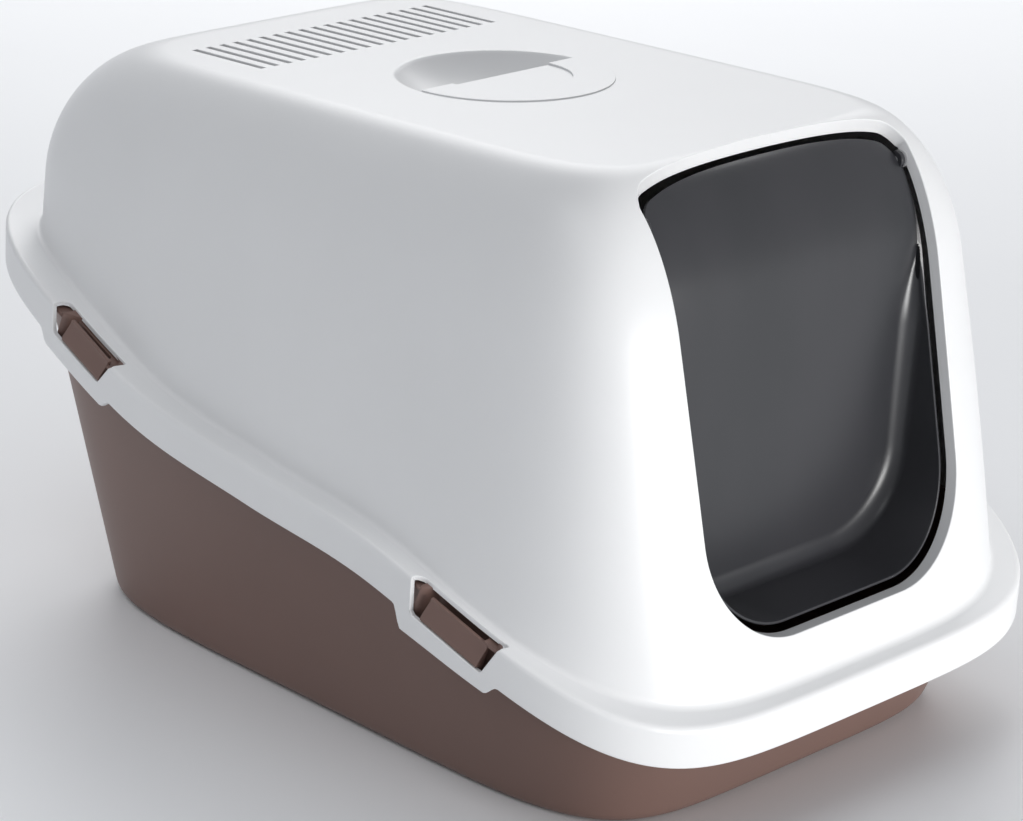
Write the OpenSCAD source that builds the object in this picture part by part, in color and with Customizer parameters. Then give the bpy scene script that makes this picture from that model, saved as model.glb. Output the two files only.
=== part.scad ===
// Hooded litter box for a cat. A deep tray carries a lift-off hood on an S-shaped rim.
// Four spring tongues of the tray hook through windows in the hood's skirt. The hood has
// a swinging scoop door, a recessed grip and a filter cassette under its roof vents.
// Millimetres. +Z is up, the doorway faces -Y, the floor is at Z = 0.

/* [Piece] */

/* [Footprint and rim] */
// Width over the skirt
body_w = 400; // [360:1:440]
// Length over the skirt
body_l = 560; // [504:1:616]
// Squareness of the skirt's outline, 2 is an ellipse
rim_square = 5; // [4:0.1:7]
// Height of the skirt's lower edge at seven even stations, front to rear
rim_z = [51, 86.5, 116.5, 128.5, 143.5, 178, 207.5];
// Height of the skirt
skirt_h = 23; // [18:0.5:30]
// Fall of the shelf from the skirt to the hood's wall
shelf_fall = 2; // [0:0.5:5]
// Outward bow of every long side, as a share of its half width
side_bow = 0.004; // [0.002:0.001:0.01]
// Points around each lofted ring
ring_n = 72; // [48:4:96]

/* [Hood] */
// Wall thickness of the hood
wall = 2.6; // [2:0.1:4]
// Height of the roof's middle above the floor
roof_z = 334; // [300:1:370]
// Rise of the roof towards the door, per millimetre
roof_tilt = 0.045; // [0:0.005:0.08]
// Half width of the hood at the reference level
hood_side = 194.5; // [170:0.5:196]
// Reach of the front wall at the reference level
hood_front = 272.4; // [240:0.5:275]
// Reach of the rear wall at the reference level
hood_rear = 264.5; // [240:0.5:275]
// Lean of the side walls, degrees
side_lean = 7.6; // [0:0.1:12]
// Lean of the front wall, degrees
front_lean = 14.7; // [0:0.1:25]
// Lean of the rear wall, degrees
rear_lean = 1.7; // [0:0.1:12]
// Squareness of the hood at the reference level
hood_square = 4.3; // [3:0.1:8]
// Squareness of the hood at the roof
roof_square = 7.7; // [3:0.1:9]
// Height of the roof's rounded shoulder
shoulder_z = 77; // [40:1:90]
// Reach of the shoulder inwards at the sides
shoulder_side = 44; // [20:1:60]
// Reach of the shoulder inwards at the front
shoulder_front = 34; // [20:1:60]
// Reach of the shoulder inwards at the rear
shoulder_rear = 55; // [20:1:60]

/* [Doorway and door] */
// Half width of the doorway at its sill
door_half = 104.4; // [90:0.2:110]
// Half width of the doorway at its top
door_half_top = 107.4; // [90:0.2:112]
// Height of the doorway's sill
door_sill = 101.5; // [90:0.5:130]
// Radius of the doorway's lower corners
door_corner = 60; // [20:1:80]
// Front-to-back place of the doorway's upper edge on the roof, at its middle
door_head_y = -167; // [-190:0.5:-150]
// Depth of the flange that lines the doorway
reveal = 7; // [5:0.5:10]
// Gap around the door
door_gap = 3; // [2:0.1:5]
// Depth of the door's rim behind the hood's face
door_inset = 8.5; // [7.5:0.5:12]
// Thickness of the door's panel
door_skin = 2; // [1.5:0.1:3]
// Front-to-back place of the door panel's front face
panel_y = -206; // [-215:0.5:-200]
// Front-to-back place of the door's hinge line
hinge_y = -185; // [-190:0.5:-180]
// Height of the door's hinge line
hinge_z = 316; // [305:0.5:320]
// Radius of the hinge pins
pin_r = 2; // [1.5:0.1:3]
// Radial clearance of the turning fits
run_fit = 0.05; // [0.02:0.01:0.1]

/* [Vents and filter] */
// Number of vent slots
slot_count = 19; // [11:2:25]
// Width of the row of slots
slots_w = 188; // [150:1:200]
// Length of one slot
slot_l = 60; // [40:1:70]
// Width of one slot
slot_w = 4.6; // [4:0.1:6]
// Front-to-back middle of the row of slots
slots_y = 145; // [120:1:160]
// Height of the filter cassette
cassette_h = 11; // [8:0.5:16]

/* [Grip] */
// Radius of the round grip
grip_r = 62; // [50:0.5:70]
// Front-to-back middle of the grip
grip_y = 15.7; // [0:0.1:40]
// Depth of the finger bowl
bowl_depth = 24; // [18:0.5:30]
// Reach of the grip plate behind the grip's middle
plate_edge = 3; // [0:0.5:10]

/* [Tray] */
// Wall thickness of the tray
tray_wall = 2.6; // [2:0.1:4]
// Half width of the tray's floor
tray_side = 156.4; // [140:0.2:170]
// Half length of the tray's floor
tray_end = 219.7; // [200:0.2:240]
// Front-to-back middle of the tray's floor
tray_y = -16; // [-30:0.5:10]
// Squareness of the tray's floor
tray_square = 5.7; // [4:0.1:7]
// Rounding under the tray's walls
tray_foot = 9; // [4:0.5:20]

/* [Snap tongues] */
// Middle of the front pair of windows
clip_front_y = -153.5; // [-170:0.5:-150]
// Middle of the rear pair of windows
clip_rear_y = 147.5; // [130:0.5:160]
// Length of a front tongue along the rim
clip_front_l = 42; // [30:1:44]
// Length of a rear tongue along the rim
clip_rear_l = 38; // [30:1:40]
// Depth of a tongue's root below the skirt's edge
clip_root = 4; // [3:0.5:8]
// Distance of a tongue's middle inside the skirt's face
clip_set = 5.3; // [4.8:0.1:7]
// Thickness of a tongue
clip_t = 2.2; // [1.6:0.1:3]

/* [Hidden] */
$fn = 64;
half_w = body_w / 2;
half_l = body_l / 2;
knot_gap = body_l / 6;
// level at which the hood's half widths and lengths are stated
ref_z = 60;
roof_span = roof_z - ref_z;
roof_angle = atan(roof_tilt);
shoulder_steps = 6;
wall_steps = 4;
// free gap between the tray's flange and the hood all round
seat_gap = 0.4;
// height of the tray's flange above the skirt's lower edge
flange_top = skirt_h - shelf_fall - wall - seat_gap;
flange_t = 2.4;
flange_gap = 1;
cassette_w = slots_w + 10;
cassette_l = slot_l + 10;
cassette_t = 2;
cassette_gap = 1.2;
filter_pin_r = 1.5;
knuckle_x = 66;
knuckle_w = 8;
knuckle_r = 4;
// place of the filter's hinge in the roof's own frame
knuckle_y = cassette_l / 2 + 4.5;
knuckle_z = -wall - cassette_gap - knuckle_r;
bowl_r = (grip_r * grip_r + bowl_depth * bowl_depth) / (2 * bowl_depth);
boss_r = 5;
boss_l = 8;
ear_t = 3;
recess_r = grip_r * 0.62;
recess_drop = 0.4;
clip_root_r = 2;

hood_white = [0.93, 0.93, 0.935];
tray_brown = [0.36, 0.27, 0.25];
door_smoke = [0.17, 0.17, 0.19];
pin_grey = [0.6, 0.6, 0.62];
pad_black = [0.09, 0.09, 0.09];

// ---------- shape functions ----------

function clamp(v, low, high) = max(low, min(high, v));

// Point i of a rounded-rectangle ring with slightly bowed sides, at even angles
function ring_xy(i, a, b, n) =
    let (t = 360 * (i + 0.5) / ring_n, c = cos(t), s = sin(t),
         r = pow(pow(abs(c), n) + pow(abs(s), n), -1 / n))
    [a * c * r * (1 - side_bow * s * s * r * r), b * s * r * (1 - side_bow * c * c * r * r)];

// Height of the skirt's lower edge: a smooth curve through the seven stations
function rim_knot(i) =
    i < 0 ? 2 * rim_z[0] - rim_z[1] : i > 6 ? 2 * rim_z[6] - rim_z[5] : rim_z[i];
function rim(y) =
    let (s = clamp((y + half_l) / knot_gap, 0, 6), i = min(floor(s), 5), f = s - i,
         p0 = rim_knot(i - 1), p1 = rim_knot(i), p2 = rim_knot(i + 1), p3 = rim_knot(i + 2))
    p1 + f * (p2 - p0 + f * (2 * p0 - 5 * p1 + 4 * p2 - p3
        + f * (3 * p1 - p0 - 3 * p2 + p3))) / 2;

// Half width of the skirt's outline at a place along the length
function outline_x(y) = half_w * pow(1 - pow(abs(y) / half_l, rim_square), 1 / rim_square)
    * (1 - side_bow * y * y / (half_l * half_l));

// Ring of the skirt's outline, moved inwards, at a height above its lower edge
function outline_ring(inset, rise) = [for (i = [0:ring_n - 1])
    let (p = ring_xy(i, half_w - inset, half_l - inset, rim_square))
    [p[0], p[1], rim(p[1]) + rise]];

// Real height of a level on the hood, which rises towards the door
function tilted(z, y) = ref_z + (z - ref_z) * (1 - roof_tilt * y / roof_span);
function untilted(z, y) = ref_z + (z - ref_z) / (1 - roof_tilt * y / roof_span);

// Point i of the hood at level z, turned in by share u of the shoulder, t inside the face
function hood_pt(i, z, u, t) =
    let (up = z - ref_z,
         a = hood_side - t - tan(side_lean) * up - (shoulder_side - t) * u,
         front = -(hood_front - t) + tan(front_lean) * up + (shoulder_front - t) * u,
         rear = hood_rear - t - tan(rear_lean) * up - (shoulder_rear - t) * u,
         n = hood_square + (roof_square - hood_square) * up / roof_span,
         p = ring_xy(i, a, (rear - front) / 2, n), y = p[1] + (rear + front) / 2)
    [p[0], y, tilted(z, y)];

// Rings of the rounded shoulder, from the flat of the roof down to the walls
function shoulder_rings(t) = [for (k = [0:shoulder_steps - 1])
    let (q = 90 - 90 * k / shoulder_steps, z = roof_z - t - (shoulder_z - t) * (1 - sin(q)))
    [for (i = [0:ring_n - 1]) hood_pt(i, z, 1 - cos(q), t)]];

// Level where the hood's wall meets the shelf, found by two rounds of correction
function foot_level(i, t, rise) =
    let (y1 = hood_pt(i, 150, 0, t)[1], z1 = untilted(rim(y1) + rise, y1),
         y2 = hood_pt(i, z1, 0, t)[1], z2 = untilted(rim(y2) + rise, y2))
    z2;

// Rings of the walls, from the shoulder down to the shelf
function wall_rings(t, rise) = [for (k = [0:wall_steps])
    [for (i = [0:ring_n - 1])
        let (foot = foot_level(i, t, rise), top = roof_z - shoulder_z)
        hood_pt(i, top + (foot - top) * k / wall_steps, 0, t)]];

function reversed(v) = [for (i = [len(v) - 1:-1:0]) v[i]];

// Closed skin over a stack of rings, with a flat cap on the first and the last
module loft(rings) {
    n = len(rings[0]);
    points = [for (r = rings) for (p = r) p];
    sides = [for (j = [0:len(rings) - 2]) for (i = [0:n - 1])
        let (a = j * n + i, b = j * n + (i + 1) % n)
        each [[a, b, b + n], [a, b + n, a + n]]];
    first = [for (i = [n - 1:-1:0]) i];
    last = [for (i = [0:n - 1]) (len(rings) - 1) * n + i];
    polyhedron(points, concat(sides, [first, last]));
}

// ---------- frames of reference ----------

// The roof's own frame, with its origin on the outer face at a place along the length
module on_roof(y) {
    translate([0, y, tilted(roof_z, y)])
        rotate([-roof_angle, 0, 0])
            children();
}

// Frame of a snap tongue on the left: +X outwards, +Y along the rim, origin on its edge
module on_rim(y) {
    dx = outline_x(y + 10) - outline_x(y - 10);
    rise = rim(y + 10) - rim(y - 10);
    translate([-outline_x(y), y, rim(y)])
        rotate([0, 0, atan(dx / 20)])
            rotate([atan(rise / 20), 0, 0])
                mirror([1, 0, 0])
                    children();
}

// ---------- hood ----------

// Solid block inside the hood's face, t deep, used to trim what follows the face
module hood_block(t) {
    base = [for (i = [0:ring_n - 1]) hood_pt(i, ref_z, 0, t)];
    mid = [for (i = [0:ring_n - 1]) hood_pt(i, roof_z - shoulder_z, 0, t)];
    loft(concat(shoulder_rings(t), [mid], [base]));
}

module hood_skin() {
    shelf = skirt_h - shelf_fall;
    loft(concat(
        shoulder_rings(0),
        wall_rings(0, shelf),
        [outline_ring(3, skirt_h), outline_ring(0.9, skirt_h - 0.9), outline_ring(0, skirt_h - 3)],
        [outline_ring(0, 0), outline_ring(wall, 0), outline_ring(wall, skirt_h - wall - 1.5)],
        [outline_ring(wall + 1.5, skirt_h - wall)],
        reversed(wall_rings(wall, shelf - wall)),
        reversed(shoulder_rings(wall))));
}

// Shape of the doorway seen from the front, open at the top
module door_front(grow) {
    low = door_half + grow;
    high = door_half_top + grow;
    r = door_corner + grow;
    sill = door_sill - grow;
    union() {
        for (s = [-1, 1])
            translate([s * (low - r), sill + r])
                circle(r, $fn = 96);
        polygon([[-low + r, sill], [low - r, sill], [low, sill + r], [high, roof_z + 20],
            [-high, roof_z + 20], [-low, sill + r]]);
    }
}

// Shape of the doorway seen from above: its upper edge bows back in the middle
module door_plan(grow) {
    high = door_half_top + grow + 1;
    head = door_head_y + grow;
    bow = 9;
    corner = 14;
    polygon(concat(
        [[-high, -half_l - 20], [high, -half_l - 20]],
        [for (q = [0:15:90]) [high - corner + corner * cos(q), head - bow - corner
            + corner * sin(q)]],
        [for (k = [0.75:-0.25:-0.75]) [k * (high - corner), head - bow * k * k]],
        [for (q = [90:15:180]) [-high + corner + corner * cos(q), head - bow - corner
            + corner * sin(q)]]));
}

// The doorway as a solid that runs through the hood's front and the edge of its roof
module doorway(grow) {
    intersection() {
        translate([0, -100, 0])
            rotate([90, 0, 0])
                linear_extrude(height = half_l)
                    door_front(grow);
        translate([0, 0, ref_z])
            linear_extrude(height = roof_z)
                door_plan(grow);
    }
}

// Flange that turns in around the doorway
module door_lining() {
    intersection() {
        difference() {
            hood_block(0.4);
            hood_block(reveal);
        }
        doorway(wall);
    }
}

// Bosses that hold the two hinge pins of the door
module pin_bosses() {
    for (s = [-1, 1])
        translate([s * (door_half_top - 0.8 + boss_l / 2), hinge_y, hinge_z])
            rotate([0, 90, 0])
                cylinder(r = boss_r, h = boss_l, center = true);
}

module pin_holes() {
    for (s = [-1, 1])
        translate([s * (door_half_top - 2.8 + boss_l / 2), hinge_y, hinge_z])
            rotate([0, 90, 0])
                cylinder(r = pin_r, h = boss_l + 2, center = true);
}

module bowl_shell() {
    intersection() {
        translate([0, 0, bowl_r - bowl_depth])
            sphere(r = bowl_r + 2.4, $fn = 96);
        translate([0, 0, -bowl_depth - 4])
            cylinder(r = grip_r + 5, h = bowl_depth + 3);
    }
}

module bowl_hollow() {
    translate([0, 0, bowl_r - bowl_depth])
        sphere(r = bowl_r, $fn = 96);
}

module vent_slots() {
    pitch = (slots_w - slot_w) / (slot_count - 1);
    for (k = [0:slot_count - 1])
        translate([-slots_w / 2 + slot_w / 2 + k * pitch, 0, -wall / 2])
            cube([slot_w, slot_l, wall + 6], center = true);
}

// Ears under the roof that carry the filter's hinge, and two posts that grip its front lug
module filter_ears() {
    for (s = [-1, 1]) {
        translate([s * (knuckle_x + knuckle_w / 2 + 2.3), knuckle_y, 0]) {
            translate([0, 0, knuckle_z])
                rotate([0, 90, 0])
                    cylinder(r = knuckle_r, h = 4, center = true);
            translate([0, 0, (knuckle_z - 1) / 2])
                cube([4, 2 * knuckle_r, -knuckle_z - 1], center = true);
        }
        translate([s * 13.3, -cassette_l / 2 - 4, -8])
            cube([3, 5, 14], center = true);
    }
}

module filter_ear_holes() {
    for (s = [-1, 1])
        translate([s * (knuckle_x + knuckle_w / 2 + 2.3), knuckle_y, knuckle_z])
            rotate([0, 90, 0])
                cylinder(r = filter_pin_r, h = 6, center = true);
}

// Window cut through the skirt and part of the shelf on the left. It follows the rim's
// slope: y from rear to front, edges low and high above the rim, depth into the shelf
module window_cut(y_rear, y_front_top, y_front_low, low, high, depth) {
    x = outline_x((y_rear + y_front_top) / 2);
    translate([-x - 20, 0, 0])
        rotate([90, 0, 90])
            linear_extrude(height = 20 + depth)
                polygon([[y_rear, rim(y_rear) + low], [y_rear, rim(y_rear) + high],
                    [y_front_top, rim(y_front_top) + high], [y_front_low, rim(y_front_low) + low]]);
}

// Local drop of the skirt's edge under a window on the left
module skirt_drop(y_rear, y_front, drop_rear, drop_front) {
    intersection() {
        difference() {
            linear_extrude(height = roof_z)
                polygon([for (i = [0:ring_n - 1]) ring_xy(i, half_w, half_l, rim_square)]);
            translate([0, 0, -1])
                linear_extrude(height = roof_z + 2)
                    polygon([for (i = [0:ring_n - 1])
                        ring_xy(i, half_w - wall, half_l - wall, rim_square)]);
        }
        translate([-half_w - 10, 0, 0])
            rotate([90, 0, 90])
                linear_extrude(height = 60)
                    polygon([[y_rear, rim(y_rear) + 3], [y_rear - 4, rim(y_rear - 4) - drop_rear],
                        [y_front + 8, rim(y_front + 8) - drop_front], [y_front, rim(y_front) + 3]]);
    }
}

module hood() {
    color(hood_white)
    difference() {
        union() {
            difference() {
                union() {
                    hood_skin();
                    door_lining();
                    on_roof(grip_y)
                        bowl_shell();
                    on_roof(slots_y)
                        filter_ears();
                }
                doorway(0);
                on_roof(grip_y)
                    bowl_hollow();
            }
            pin_bosses();
            for (m = [0, 1])
                mirror([m, 0, 0]) {
                    skirt_drop(183, 120, 7, 6.5);
                    skirt_drop(-117, -187, 11.5, 7.5);
                }
        }
        pin_holes();
        on_roof(slots_y) {
            vent_slots();
            filter_ear_holes();
        }
        for (m = [0, 1])
            mirror([m, 0, 0]) {
                window_cut(171, 111, 128, 5.5, skirt_h + 8, 11);
                window_cut(-128, -192, -177, 2, skirt_h + 8, 7);
            }
    }
}

// ---------- grip ----------

// Half-round plate over the front of the finger bowl, with a shallow recess open to its edge
module grip_plate() {
    color(hood_white)
    on_roof(grip_y)
        difference() {
            intersection() {
                translate([0, 0, bowl_r - bowl_depth])
                    sphere(r = bowl_r, $fn = 96);
                translate([0, plate_edge - grip_r - 10, -0.7])
                    cube([2 * grip_r + 20, 2 * grip_r + 20, 3], center = true);
            }
            translate([0, 0, -recess_drop])
                cylinder(r = recess_r, h = 3);
        }
}

// ---------- door ----------

module hinge_pin(s) {
    length = door_gap + ear_t + boss_l - 2;
    color(pin_grey)
    translate([s * (door_half_top - door_gap - ear_t + length / 2), hinge_y, hinge_z])
        rotate([0, 90, 0])
            cylinder(r = pin_r, h = length, center = true);
}

module hinge_pin_left() {
    hinge_pin(-1);
}

module hinge_pin_right() {
    hinge_pin(1);
}

// Scoop-shaped door: a panel set back behind the doorway, with walls that reach forward
module door() {
    color(door_smoke)
    difference() {
        union() {
            difference() {
                intersection() {
                    hood_block(door_inset);
                    doorway(-door_gap);
                }
                intersection() {
                    hood_block(door_inset + door_skin);
                    translate([-half_w, panel_y + door_skin, 0])
                        cube([body_w, half_l, body_w]);
                }
                intersection() {
                    doorway(-door_gap - door_skin);
                    translate([-half_w, -half_l, 0])
                        cube([body_w, panel_y + half_l, body_w]);
                }
            }
            for (s = [-1, 1])
                translate([s * (door_half_top - door_gap - ear_t / 2), hinge_y, hinge_z])
                    rotate([0, 90, 0])
                        cylinder(r = boss_r, h = ear_t, center = true);
        }
        for (s = [-1, 1])
            translate([s * (door_half_top - door_gap - ear_t / 2), hinge_y, hinge_z])
                rotate([0, 90, 0])
                    cylinder(r = pin_r + run_fit, h = ear_t + 8, center = true);
    }
}

// ---------- filter ----------

module filter_pin() {
    color(pin_grey)
    on_roof(slots_y)
        translate([0, knuckle_y, knuckle_z])
            rotate([0, 90, 0])
                cylinder(r = filter_pin_r, h = 2 * knuckle_x + knuckle_w + 9, center = true);
}

// Open cage under the vents, hinged at its rear edge
module filter_cassette() {
    top = -wall - cassette_gap;
    bar = (cassette_w - 2 * cassette_t - 7 * 4) / 8;
    color(hood_white)
    on_roof(slots_y)
        difference() {
            union() {
                translate([-cassette_w / 2, -cassette_l / 2, top - cassette_h])
                    cube([cassette_w, cassette_l, cassette_h]);
                for (s = [-1, 1]) {
                    translate([s * knuckle_x, knuckle_y, knuckle_z])
                        rotate([0, 90, 0])
                            cylinder(r = knuckle_r, h = knuckle_w, center = true);
                    translate([s * knuckle_x - knuckle_w / 2, cassette_l / 2 - 1,
                        knuckle_z - knuckle_r])
                        cube([knuckle_w, 5.5, knuckle_r]);
                }
                translate([-11.4, -cassette_l / 2 - 6, top - 9])
                    cube([22.8, 7, 3]);
            }
            translate([-cassette_w / 2 + cassette_t, -cassette_l / 2 + cassette_t,
                top - cassette_h + cassette_t])
                cube([cassette_w - 2 * cassette_t, cassette_l - 2 * cassette_t, cassette_h]);
            for (k = [0:7])
                translate([-cassette_w / 2 + cassette_t + k * (bar + 4), -cassette_l / 2 + 8,
                    top - cassette_h - 1])
                    cube([bar, cassette_l - 16, cassette_h]);
            for (s = [-1, 1])
                translate([s * knuckle_x, knuckle_y, knuckle_z])
                    rotate([0, 90, 0])
                        cylinder(r = filter_pin_r + run_fit, h = knuckle_w + 2, center = true);
        }
}

module filter_pad() {
    top = -wall - cassette_gap;
    color(pad_black)
    on_roof(slots_y)
        translate([-cassette_w / 2 + cassette_t + 0.5, -cassette_l / 2 + cassette_t + 0.5,
            top - cassette_h + cassette_t])
            cube([cassette_w - 2 * cassette_t - 1, cassette_l - 2 * cassette_t - 1,
                cassette_h - cassette_t - 1.5]);
}

// ---------- tray ----------

// Point i of the tray's wall, share k of the way up, t inside its outer face
function tray_pt(i, k, t) =
    let (low = ring_xy(i, tray_side - t, tray_end - t, tray_square),
         top = ring_xy(i, half_w - 13 - t, half_l - 15 - t, rim_square - 0.3),
         y = low[1] + tray_y, z = rim(top[1]) + flange_top)
    [low[0] + (top[0] - low[0]) * k, y + (top[1] - y) * k, 6 + (z - 6) * k];

function tray_ring(k, t) = [for (i = [0:ring_n - 1]) tray_pt(i, k, t)];

// Ring of the tray's rounded foot, drop below the wall's first ring and inset from it
function tray_floor_ring(z, inset) = [for (i = [0:ring_n - 1])
    let (p = ring_xy(i, tray_side - inset, tray_end - inset, tray_square))
    [p[0], p[1] + tray_y, z]];

module tray_skin() {
    top = flange_top;
    edge = wall + flange_gap;
    loft(concat(
        [tray_floor_ring(tray_wall, tray_foot + tray_wall)],
        [tray_floor_ring(tray_wall + 1.5, 3 + tray_wall)],
        [for (k = [0.03, 0.3, 0.65, 1]) tray_ring(k, tray_wall)],
        [outline_ring(edge, top), outline_ring(edge, top - flange_t)],
        [[for (i = [0:ring_n - 1])
            let (p = tray_pt(i, 1, 0))
            [p[0], p[1], p[2] - flange_t]]],
        [for (k = [0.65, 0.3, 0]) tray_ring(k, 0)],
        [tray_floor_ring(1.5, 3), tray_floor_ring(0, tray_foot)]));
}

// Cut in the tray's flange that a tongue stands in
module clip_notch(length) {
    translate([-clip_set - 6, -length / 2 - 1, -clip_root - 2])
        cube([14, length + 2, 60]);
}

// Ledge on the tray's wall, depth inside the skirt's face, that carries a tongue's root
module clip_ledge(depth, length) {
    translate([-depth, -length / 2, -clip_root - clip_root_r - 2.3])
        cube([depth - clip_set + clip_root_r, length, 2]);
}

module tray() {
    color(tray_brown)
    difference() {
        union() {
            tray_skin();
            for (m = [0, 1])
                mirror([m, 0, 0]) {
                    on_rim(clip_front_y)
                        clip_ledge(22.7, clip_front_l);
                    on_rim(clip_rear_y)
                        clip_ledge(21, clip_rear_l);
                }
        }
        for (m = [0, 1])
            mirror([m, 0, 0]) {
                on_rim(clip_front_y)
                    clip_notch(clip_front_l);
                on_rim(clip_rear_y)
                    clip_notch(clip_rear_l);
            }
    }
}

// ---------- snap tongues ----------

// One tongue: a rounded root, a springy plate and a nose that hooks over the skirt's bar
module clip(low, length) {
    bar = low + 0.6;
    x_in = -clip_set - clip_t / 2;
    x_out = -clip_set + clip_t / 2;
    rotate([90, 0, 0])
        linear_extrude(height = length, center = true)
            polygon([[x_in, -clip_root], [x_out, -clip_root], [x_out, bar], [-0.8, bar],
                [-0.8, bar + 2.5], [x_out, bar + 11], [x_out, bar + 13.5], [x_in, bar + 13.5]]);
    translate([-clip_set, 0, -clip_root])
        rotate([90, 0, 0])
            cylinder(r = clip_root_r, h = length, center = true);
}

module clip_front_left() {
    color(tray_brown)
    on_rim(clip_front_y)
        clip(2, clip_front_l);
}

module clip_front_right() {
    color(tray_brown)
    mirror([1, 0, 0])
        on_rim(clip_front_y)
            clip(2, clip_front_l);
}

module clip_rear_left() {
    color(tray_brown)
    on_rim(clip_rear_y)
        clip(5.5, clip_rear_l);
}

module clip_rear_right() {
    color(tray_brown)
    mirror([1, 0, 0])
        on_rim(clip_rear_y)
            clip(5.5, clip_rear_l);
}

// ---------- what is drawn ----------

tray();
clip_front_left();
clip_front_right();
clip_rear_left();
clip_rear_right();
hood();
grip_plate();
hinge_pin_left();
hinge_pin_right();
door();
filter_pin();
filter_cassette();
filter_pad();
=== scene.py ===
"""A hooded litter box in Blender, section by section in the order it is put together: a white
hood, its recessed grip, a smoked scoop door on two pins, a filter under the roof vents, a brown
tray, and four snap tongues that hook through windows in the hood's skirt.
Metres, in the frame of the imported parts: +Z up, the doorway faces -Y, the floor is at Z = 0."""

import math

import bmesh
import bpy
import numpy as np
from mathutils import Matrix, Vector


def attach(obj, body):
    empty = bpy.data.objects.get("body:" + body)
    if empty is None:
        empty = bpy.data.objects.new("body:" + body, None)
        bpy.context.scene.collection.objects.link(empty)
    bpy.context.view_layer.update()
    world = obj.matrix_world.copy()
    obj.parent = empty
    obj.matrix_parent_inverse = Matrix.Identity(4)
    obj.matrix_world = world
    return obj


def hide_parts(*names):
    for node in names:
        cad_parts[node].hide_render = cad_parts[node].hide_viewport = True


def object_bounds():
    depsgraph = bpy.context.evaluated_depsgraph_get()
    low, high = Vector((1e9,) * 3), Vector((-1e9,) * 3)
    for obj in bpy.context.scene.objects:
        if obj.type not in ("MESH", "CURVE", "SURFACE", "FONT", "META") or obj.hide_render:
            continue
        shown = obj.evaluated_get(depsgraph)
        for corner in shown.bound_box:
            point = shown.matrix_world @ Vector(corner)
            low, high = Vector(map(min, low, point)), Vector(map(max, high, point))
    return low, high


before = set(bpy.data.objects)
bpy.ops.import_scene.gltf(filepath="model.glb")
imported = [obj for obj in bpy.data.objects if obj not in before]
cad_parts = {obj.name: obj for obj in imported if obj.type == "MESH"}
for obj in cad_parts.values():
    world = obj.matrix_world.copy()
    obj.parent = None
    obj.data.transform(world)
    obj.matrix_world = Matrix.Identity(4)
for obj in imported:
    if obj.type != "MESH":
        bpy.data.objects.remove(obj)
low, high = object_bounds()
scene = bpy.context.scene

# ------------------------------------------------------------------ camera
# A long lens looks down on the left front corner from two metres, turned a little to the right.

azimuth, elevation, roll = math.radians(-46.749), math.radians(20.692), math.radians(3.37)
back = Vector((math.sin(azimuth) * math.cos(elevation), -math.cos(azimuth) * math.cos(elevation),
               math.sin(elevation)))
level_right = (-back).cross(Vector((0, 0, 1))).normalized()
level_up = level_right.cross(-back)
right = level_right * math.cos(roll) + level_up * math.sin(roll)
up = level_up * math.cos(roll) - level_right * math.sin(roll)
camera = bpy.data.objects.new("camera", bpy.data.cameras.new("camera"))
scene.collection.objects.link(camera)
camera.data.sensor_width = 36
camera.data.lens = 122.7
camera.data.clip_start, camera.data.clip_end = 0.1, 20
camera.matrix_world = Matrix.Translation(Vector((0, -0.0048, 0.1381)) + back * 2.0119) @ \
    Matrix((right, up, back)).transposed().to_4x4()
scene.camera = camera

# ------------------------------------------------------------------ lights
# One soft box stands low in front of the doorway and one high behind. A weak one over the left
# lights the floor there, and an even sky does the rest.


def soft_box(name, place, aim, size, watts, tint, spread=180):
    """Area light at place, turned to look at aim, with its beam held to spread degrees."""
    data = bpy.data.lights.new(name, "AREA")
    data.shape, data.size, data.size_y = "RECTANGLE", size[0], size[1]
    data.energy, data.color, data.spread = watts, tint, math.radians(spread)
    lamp = bpy.data.objects.new(name, data)
    lamp.location = place
    lamp.rotation_euler = (Vector(aim) - Vector(place)).to_track_quat("-Z", "Y").to_euler()
    scene.collection.objects.link(lamp)


soft_box("front box", (0.25, -2.4, 0.2), (0, -0.1, 0.17), (1.5, 0.36), 10.5, (1, 0.995, 0.985), 90)
soft_box("back box", (1.9, 1.9, 2.0), (0.6, 1.6, 0), (2.4, 2.4), 57, (1, 1, 1))
soft_box("left box", (-1.2, 0, 1.5), (-1.0, -0.05, 0), (0.8, 1.2), 2.6, (0.97, 0.985, 1), 90)

world = bpy.data.worlds.new("studio")
world.use_nodes = True
world.node_tree.nodes["Background"].inputs["Color"].default_value = (0.95, 0.965, 1, 1)
world.node_tree.nodes["Background"].inputs["Strength"].default_value = 0.42
scene.world = world
scene.view_settings.view_transform = "Standard"
scene.view_settings.look = "None"

# ------------------------------------------------------------------ floor
# A plain pale studio sheet under the tray, curved up far behind it. It has a fine paper mottle.


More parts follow.
